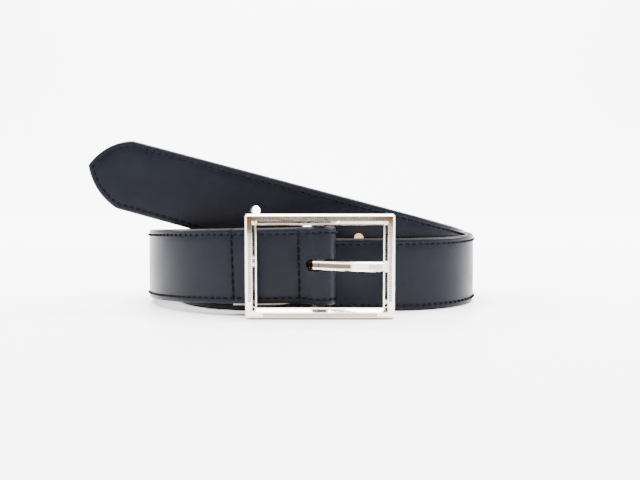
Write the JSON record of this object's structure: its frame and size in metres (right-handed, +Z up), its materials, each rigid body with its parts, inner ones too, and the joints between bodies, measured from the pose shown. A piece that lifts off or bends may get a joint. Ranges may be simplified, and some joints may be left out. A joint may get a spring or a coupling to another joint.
{
  "type": "leather belt",
  "caption": "Coiled leather dress belt standing on its edge, with a rectangular centre-bar buckle, a swinging prong and a pointed punched tail.",
  "frame": {"origin": "middle of the buckle frame's bottom face, on the table below the centre bar", "axes": "+X to the wearer's view right along the buckle, +Y from the buckle's face back into the coil, +Z up"},
  "size_m": [0.1979, 0.1418, 0.0825],
  "materials": {
    "grain_leather": "satin",
    "core_board": "matte",
    "lining_leather": "matte",
    "thread": "matte",
    "polished_nickel": "polished",
    "bar_steel": "brushed"
  },
  "bodies": {
    "root": {"strap_face": "grain_leather", "strap_core": "core_board", "strap_lining": "lining_leather", "needle_thread": "thread", "bobbin_thread": "thread", "bar_cross_stitch": "thread", "flap_cross_stitch": "thread"},
    "frame": {"buckle_frame": "polished_nickel", "centre_bar": "bar_steel"},
    "prong": {"prong": "polished_nickel"}
  },
  "joints": [
    {"name": "frame_swing", "type": "hinge", "parent": "root", "child": "frame", "pos_m": [0, 0.0109, 0.0239], "axis": [0, 0, 1], "range_deg": [-6, 30]},
    {"name": "prong_swing", "type": "hinge", "parent": "frame", "child": "prong", "pos_m": [0, 0.0109, 0.0239], "axis": [0, 0, -1], "range_deg": [0, 56]}
  ]
}
